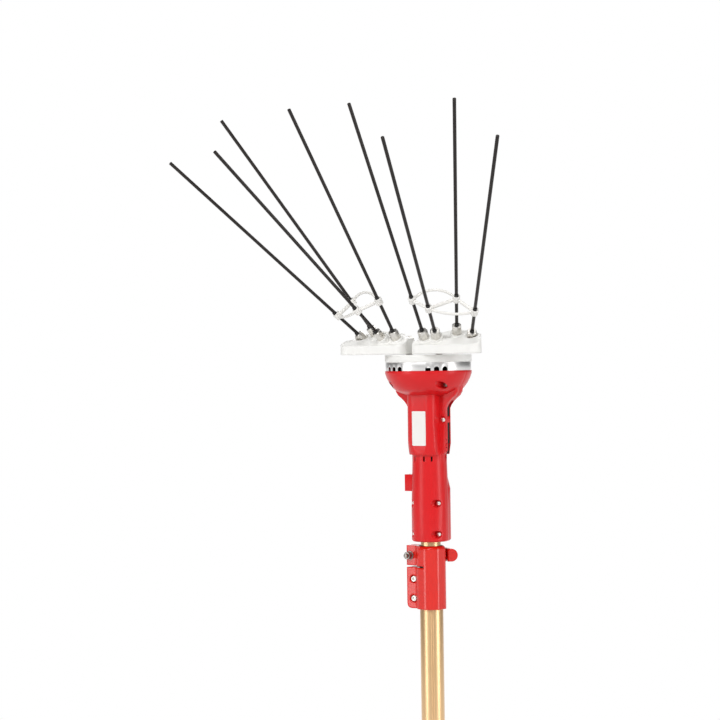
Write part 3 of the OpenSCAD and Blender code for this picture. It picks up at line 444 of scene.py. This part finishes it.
# Foam grip: a soft sleeve with repeated finger rings
GRIP_R, GRIP_BORE, GRIP_LEN, GRIP_STEPS = 21.5, 17.55, 150.0, 64
RING_PITCH, RING_COUNT, RING_FROM = 8.0, 17, 11.0
GRIP_END = [(20.0, 0), (21.1, 0.4), (GRIP_R, 1.4), (GRIP_R, 6.0), (20.7, 6.8)]
dress("grip_sleeve", turned("grip", [(GRIP_BORE, 0)] + GRIP_END
                            + [(r, GRIP_LEN - z) for r, z in reversed(GRIP_END)]
                            + [(GRIP_BORE, GRIP_LEN), (GRIP_BORE, 0)], GRIP_STEPS, angle=50))
FINGER_RING = turned("finger ring", [(20.2, -2.6), (20.9, -2.4), (21.35, -1.6), (GRIP_R, 0), (21.35, 1.6),
                                     (20.9, 2.4), (20.2, 2.6), (20.2, -2.6)], GRIP_STEPS, angle=60)
finished(repeated(FINGER_RING, [(Vector((0, 0, (RING_FROM + RING_PITCH * k) * MM)), Vector((0, 0, 1)))
                                for k in range(RING_COUNT)], MATERIALS["foam"]),
         "grip_finger_rings", "pole", MATERIALS["foam"])


# Label place: a plain white plate in its recess on the barrel's front

def plate(name, half_w, low, high, front, thick, corner, steps=6):
    """A thin upright plate with round corners that faces the front; sizes in millimetres."""
    bm = bmesh.new()
    rim = []
    for cx, cz, start in ((half_w - corner, high - corner, 0), (corner - half_w, high - corner, 90),
                          (corner - half_w, low + corner, 180), (half_w - corner, low + corner, 270)):
        for k in range(steps + 1):
            a = math.radians(start + 90 * k / steps)
            place = Vector((cx + corner * math.cos(a), front, cz + corner * math.sin(a)))
            rim.append(bm.verts.new(place * MM))
    face = bm.faces.new(rim)
    face.normal_update()
    made = bmesh.ops.extrude_face_region(bm, geom=[face])
    bmesh.ops.translate(bm, vec=(0, thick * MM, 0), verts=[v for v in made["geom"]
                                                            if isinstance(v, bmesh.types.BMVert)])
    bmesh.ops.recalc_face_normals(bm, faces=bm.faces)
    mesh = bpy.data.meshes.new(name)
    bm.to_mesh(mesh)
    bm.free()
    return smoothed(mesh)


LABEL_FRONT, LABEL_LOW, LABEL_H, LABEL_GAP = -29.95, 802.82, 52, 0.3
LABEL_HALF_W, LABEL_THICK, LABEL_CORNER = 11.7, 0.5, 1.5
finished(plate("label_place", LABEL_HALF_W, LABEL_LOW + LABEL_GAP, LABEL_LOW + LABEL_H - LABEL_GAP,
               LABEL_FRONT, LABEL_THICK, LABEL_CORNER), "label_place", "head", LABEL)


# Dark pieces behind the housing's openings; the vent blocks are painted shade

def blocks(name, corners):
    """Upright blocks from lowest and highest corners in millimetres."""
    bm = bmesh.new()
    for low, high in corners:
        made = bmesh.ops.create_cube(bm, size=1.0)["verts"]
        for v in made:
            v.co = [(lo + hi) / 2 * MM + c * (hi - lo) * MM for c, lo, hi in zip(v.co, low, high)]
    mesh = bpy.data.meshes.new(name)
    bm.to_mesh(mesh)
    bm.free()
    return mesh


# Black foam blocks in the side vents, put there as painted shade in the vent pockets: bottom, top and outer
# face of each block; the lowest keeps inside the taper
SHADE_BLOCK_IN, SHADE_BLOCK_FRONT, SHADE_BLOCK_BACK = 23.7, 1.2, 8.8
SHADE_BLOCKS = ((790.6, 806.0, 28.4), (806.0, 836.4, 30.2), (846.2, 872.6, 30.2))
shade_block_corners = []
for low, high, out in SHADE_BLOCKS:
    shade_block_corners += [((SHADE_BLOCK_IN, SHADE_BLOCK_FRONT, low), (out, SHADE_BLOCK_BACK, high)),
                    ((-out, SHADE_BLOCK_FRONT, low), (-SHADE_BLOCK_IN, SHADE_BLOCK_BACK, high))]
finished(blocks("vent shade blocks", shade_block_corners), "vent_filters", "head", MATERIALS["foam"])

# Rubber plug that seals the motor leads at the top of the socket
PLUG_R, PLUG_LOW, PLUG_HIGH, PLUG_EDGE = 20.0, 774.0, 787.0, 0.5
finished(turned("lead plug", [
    (0, PLUG_LOW), (PLUG_R - PLUG_EDGE, PLUG_LOW), (PLUG_R, PLUG_LOW + PLUG_EDGE),
    (PLUG_R, PLUG_HIGH - PLUG_EDGE), (PLUG_R - PLUG_EDGE, PLUG_HIGH), (0, PLUG_HIGH)]),
         "lead_plug", "head", MATERIALS["rubber"])


# Floor, light and camera

# The photo's view is level, and turned from the front by this angle to the right
TURN = math.radians(33)

scene = bpy.context.scene
scene.view_settings.view_transform = "Standard"
WHITE = [1.0, 1.0, 1.0, 1.0]


def shown_to(tree, *rays):
    """1 for the named kinds of rays, which see the white background."""
    path = add(tree, "ShaderNodeLightPath")
    share = path.outputs[rays[0]]
    for ray in rays[1:]:
        share = add(tree, "ShaderNodeMath", {"operation": "MAXIMUM"},
                    {0: share, 1: path.outputs[ray]}).outputs[0]
    return share


# The world is white to the camera; to the object it is a room with a white back, dim sides and a grey front
world = bpy.data.worlds.new("studio")
scene.world = world
world.use_nodes = True
sky = world.node_tree
sky.nodes.clear()
# Level of the room by how far a direction turns from the backdrop (-1) to the camera's side (1)
ROOM = ((-1.0, 1.0), (-0.92, 0.8), (-0.8, 0.15), (-0.15, 0.15), (0.5, 0.3), (1.0, 0.5))
toward = add(sky, "ShaderNodeVectorMath",
             {"operation": "DOT_PRODUCT", 1: [math.sin(TURN), -math.cos(TURN), 0.0]},
             {0: add(sky, "ShaderNodeTexCoord").outputs["Generated"]})
room = add(sky, "ShaderNodeFloatCurve", links={"Value": toward.outputs["Value"]})
curve = room.mapping
curve.clip_min_x, curve.clip_max_x = -1.0, 1.0
line = curve.curves[0]
for i, place in enumerate(ROOM):
    point = line.points[i] if i < 2 else line.points.new(*place)
    point.location, point.handle_type = place, "VECTOR"
curve.update()
seen = shown_to(sky, "Is Camera Ray", "Is Transmission Ray")
level = add(sky, "ShaderNodeMix", {"data_type": "FLOAT", 3: 1.0}, {0: seen, 2: room.outputs[0]})
back = add(sky, "ShaderNodeBackground", {"Color": WHITE}, {"Strength": level.outputs[0]})
add(sky, "ShaderNodeOutputWorld", links={"Surface": back.outputs[0]})

# Pale floor: white to the camera and in gloss, but near the pole it lets its shadow show through
SHADOW_NEAR, SHADOW_FAR, WHITE_NEAR, WHITE_FAR = 0.3, 1.2, 0.75, 1.0
FLOOR_HALF, FLOOR_Z = 30.0, -0.001
floor_mat = bpy.data.materials.new("pale studio floor")
floor_mat.use_nodes = True
ground = floor_mat.node_tree
ground.nodes.clear()
matt = add(ground, "ShaderNodeBsdfDiffuse", {"Color": linear("#F4F4F4")})
glow = add(ground, "ShaderNodeEmission", {"Color": WHITE, "Strength": 1.0})
from_pole = add(ground, "ShaderNodeVectorMath", {"operation": "LENGTH"},
                {0: add(ground, "ShaderNodeTexCoord").outputs["Object"]})
fade = add(ground, "ShaderNodeMapRange", {"From Min": SHADOW_NEAR, "From Max": SHADOW_FAR,
                                          "To Min": WHITE_NEAR, "To Max": WHITE_FAR},
           {"Value": from_pole.outputs["Value"]})
seen = shown_to(ground, "Is Camera Ray", "Is Transmission Ray", "Is Glossy Ray")
share = add(ground, "ShaderNodeMath", {"operation": "MULTIPLY"}, {0: seen, 1: fade.outputs[0]})
mixed = add(ground, "ShaderNodeMixShader",
            links={0: share.outputs[0], 1: matt.outputs[0], 2: glow.outputs[0]})
add(ground, "ShaderNodeOutputMaterial", links={"Surface": mixed.outputs[0]})
floor_mesh = bpy.data.meshes.new("floor")
floor_corners = [(x * FLOOR_HALF, y * FLOOR_HALF, FLOOR_Z) for x, y in ((-1, -1), (1, -1), (1, 1), (-1, 1))]
floor_mesh.from_pydata(floor_corners, [], [(0, 1, 2, 3)])
floor_mesh.materials.append(floor_mat)
floor = bpy.data.objects.new("floor", floor_mesh)
scene.collection.objects.link(floor)

# Camera of the photo: level but for a small roll, with the pole right of the picture's centre; lens in mm
ROLL = math.radians(0.8)
DISTANCE, EYE_Z, ASIDE = 3.0, 0.932, 0.1023
SENSOR, LENS = 36, 100
right_way = Vector((math.cos(TURN), math.sin(TURN), 0))
view_way = Vector((-math.sin(TURN), math.cos(TURN), 0))
camera_data = bpy.data.cameras.new("camera")
camera_data.sensor_width, camera_data.lens = SENSOR, LENS
camera = bpy.data.objects.new("camera", camera_data)
scene.collection.objects.link(camera)
camera.rotation_mode = "QUATERNION"
camera.location = -DISTANCE * view_way - ASIDE * right_way + Vector((0, 0, EYE_Z))
camera.rotation_quaternion = (view_way.to_track_quat("-Z", "Y")
                              @ Matrix.Rotation(-ROLL, 3, "Z").to_quaternion())
scene.camera = camera


# Height of the head, which the softboxes face
HEAD_Z = 0.95


def softbox(name, azimuth, elevation, distance, width, height, power):
    """A soft light at angles from the picture's view; azimuth 0 is the camera's side.

    Angles are in degrees, lengths in metres and power in watts."""
    a, e = TURN + math.radians(azimuth), math.radians(elevation)
    way = Vector((math.sin(a) * math.cos(e), -math.cos(a) * math.cos(e), math.sin(e)))
    data = bpy.data.lights.new(name, "AREA")
    data.shape, data.size, data.size_y, data.energy = "RECTANGLE", width, height, power
    light = bpy.data.objects.new(name, data)
    light.location = Vector((0, 0, HEAD_Z)) + distance * way
    light.rotation_mode = "QUATERNION"
    light.rotation_quaternion = (-way).to_track_quat("-Z", "Y")
    scene.collection.objects.link(light)


for lamp in (("front light", -20, 34, 2.4, 1.6, 1.2, 25),
             ("left strip", -60, 8, 2.2, 0.7, 2.4, 15),
             ("right strip", 60, 10, 2.2, 0.7, 2.4, 20),
             ("top light", 0, 78, 2.2, 1.4, 1.4, 10),
             ("back light", 172, 30, 2.4, 1.6, 1.2, 16)):
    softbox(*lamp)
